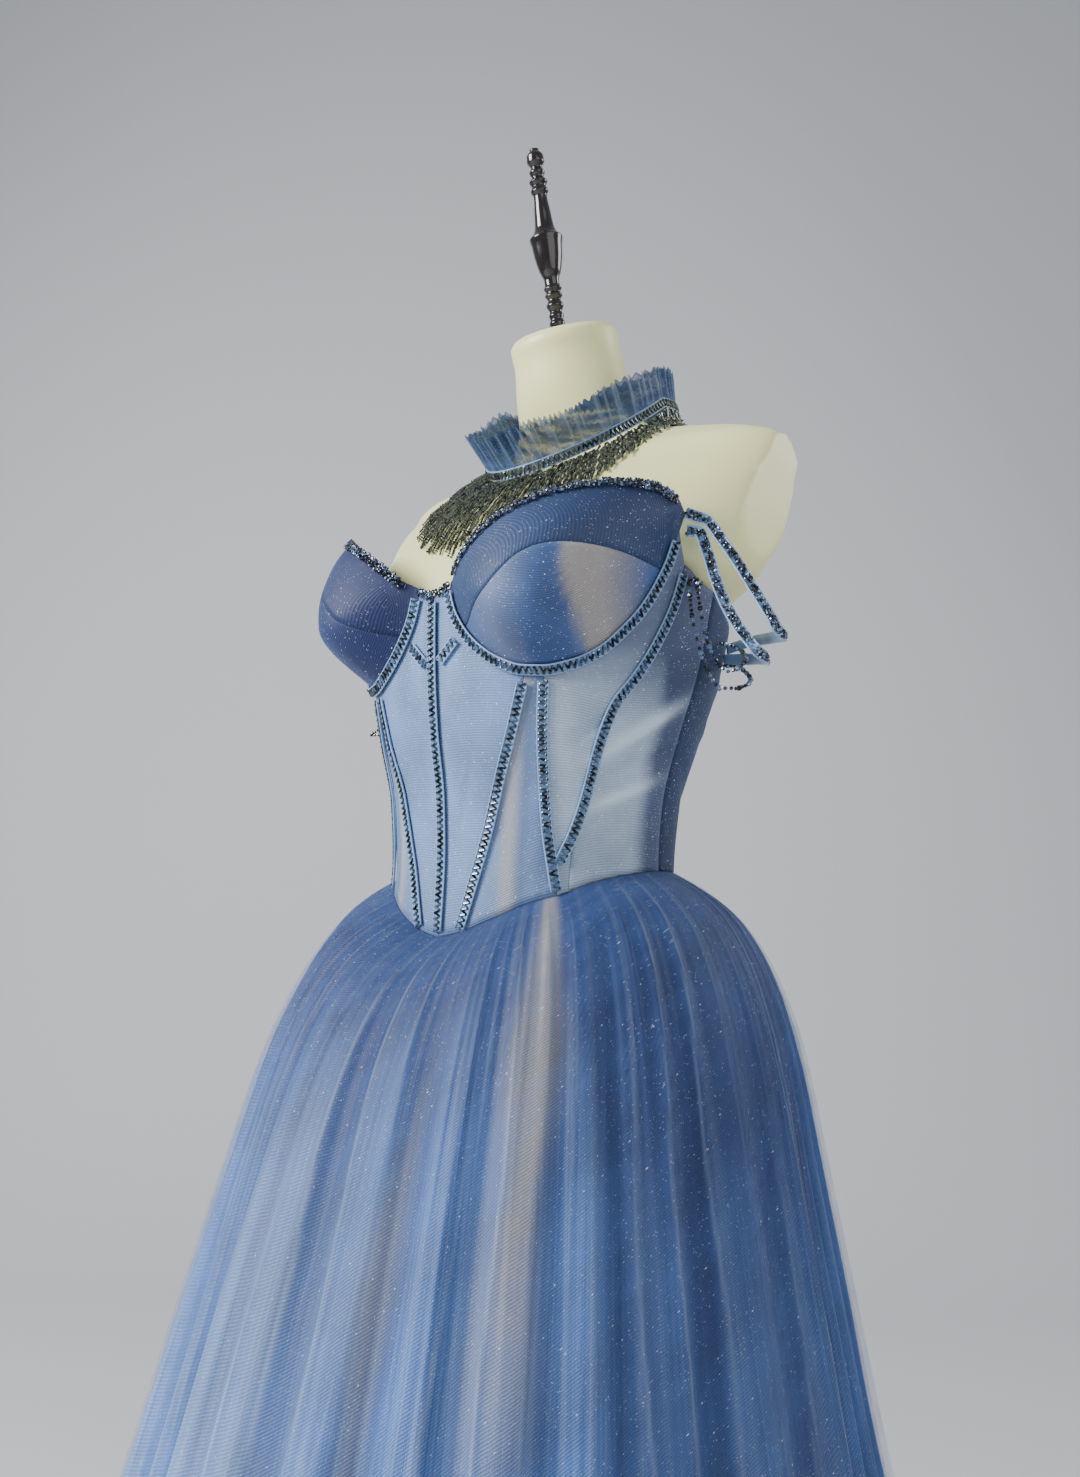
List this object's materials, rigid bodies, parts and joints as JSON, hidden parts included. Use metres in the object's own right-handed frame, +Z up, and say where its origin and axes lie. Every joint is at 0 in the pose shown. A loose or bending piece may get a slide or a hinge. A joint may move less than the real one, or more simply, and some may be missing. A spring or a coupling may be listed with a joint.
{
  "type": "off-shoulder ball gown on a limbless dress form",
  "caption": "Long blue net ball gown with boned corset bodice, bead-trimmed seams, off-shoulder straps and a ruffled choker with bead fringe, worn by a cream dress form.",
  "frame": {"origin": "middle of the round foot's underside, on the floor", "axes": "+Z up; the gown faces -Y; +X is the wearer's left"},
  "size_m": [0.9258, 0.9311, 1.669],
  "materials": {
    "bodice_net": "fine ribbed glitter net over satin",
    "cup_net": "glitter net over moulded satin",
    "skirt_net": "soft glitter tulle",
    "lining": "plain nude lining",
    "satin": "light satin with beads sewn on",
    "dark_beads": "dark cut glass beads",
    "bugle_beads": "smoky green glass bugle beads",
    "form_shell": "smooth cream moulded shell",
    "turned_wood": "turned wood in dark gloss lacquer",
    "stand_metal": "plain dark paint"
  },
  "bodies": {
    "root": {"back_modesty_panel": "bodice_net", "bodice_back_left": "bodice_net", "bodice_back_right": "bodice_net", "bodice_centre_front_left": "bodice_net", "bodice_centre_front_right": "bodice_net", "bodice_side_front_left": "bodice_net", "bodice_side_front_right": "bodice_net", "bodice_side_left": "bodice_net", "bodice_side_right": "bodice_net", "bodice_under_cup_left": "bodice_net", "bodice_under_cup_right": "bodice_net", "bow_knot": "satin", "bow_loop_left": "satin", "bow_loop_right": "satin", "bow_tail_left": "satin", "bow_tail_right": "satin", "centre_band": "satin", "choker_band": "satin", "choker_fringe": "bugle_beads", "choker_ruffle": "skirt_net", "cup_band_left": "satin", "cup_band_right": "satin", "cup_lower_left": "cup_net", "cup_lower_right": "cup_net", "cup_upper_left": "cup_net", "cup_upper_right": "cup_net", "form_torso": "form_shell", "inner_strand_left": "dark_beads", "inner_strand_right": "dark_beads", "lacing_1_fall": "satin", "lacing_1_rise": "satin", "lacing_2_fall": "satin", "lacing_2_rise": "satin", "lacing_3_fall": "satin", "lacing_3_rise": "satin", "lining_back_left": "lining", "lining_back_right": "lining", "lining_front": "lining", "lower_strap_left": "satin", "lower_strap_right": "satin", "neck_finial": "turned_wood", "neckline_beads_left": "dark_beads", "neckline_beads_right": "dark_beads", "outer_strand_left": "dark_beads", "outer_strand_right": "dark_beads", "princess_band_left": "satin", "princess_band_right": "satin", "side_front_band_left": "satin", "side_front_band_right": "satin", "skirt_back_left": "skirt_net", "skirt_back_right": "skirt_net", "skirt_front": "skirt_net", "stand_foot": "stand_metal", "stand_pole": "stand_metal", "underarm_band_left": "satin", "underarm_band_right": "satin", "upper_strap_left": "satin", "upper_strap_right": "satin", "vee_band_left": "satin", "vee_band_right": "satin"}
  },
  "joints": []
}
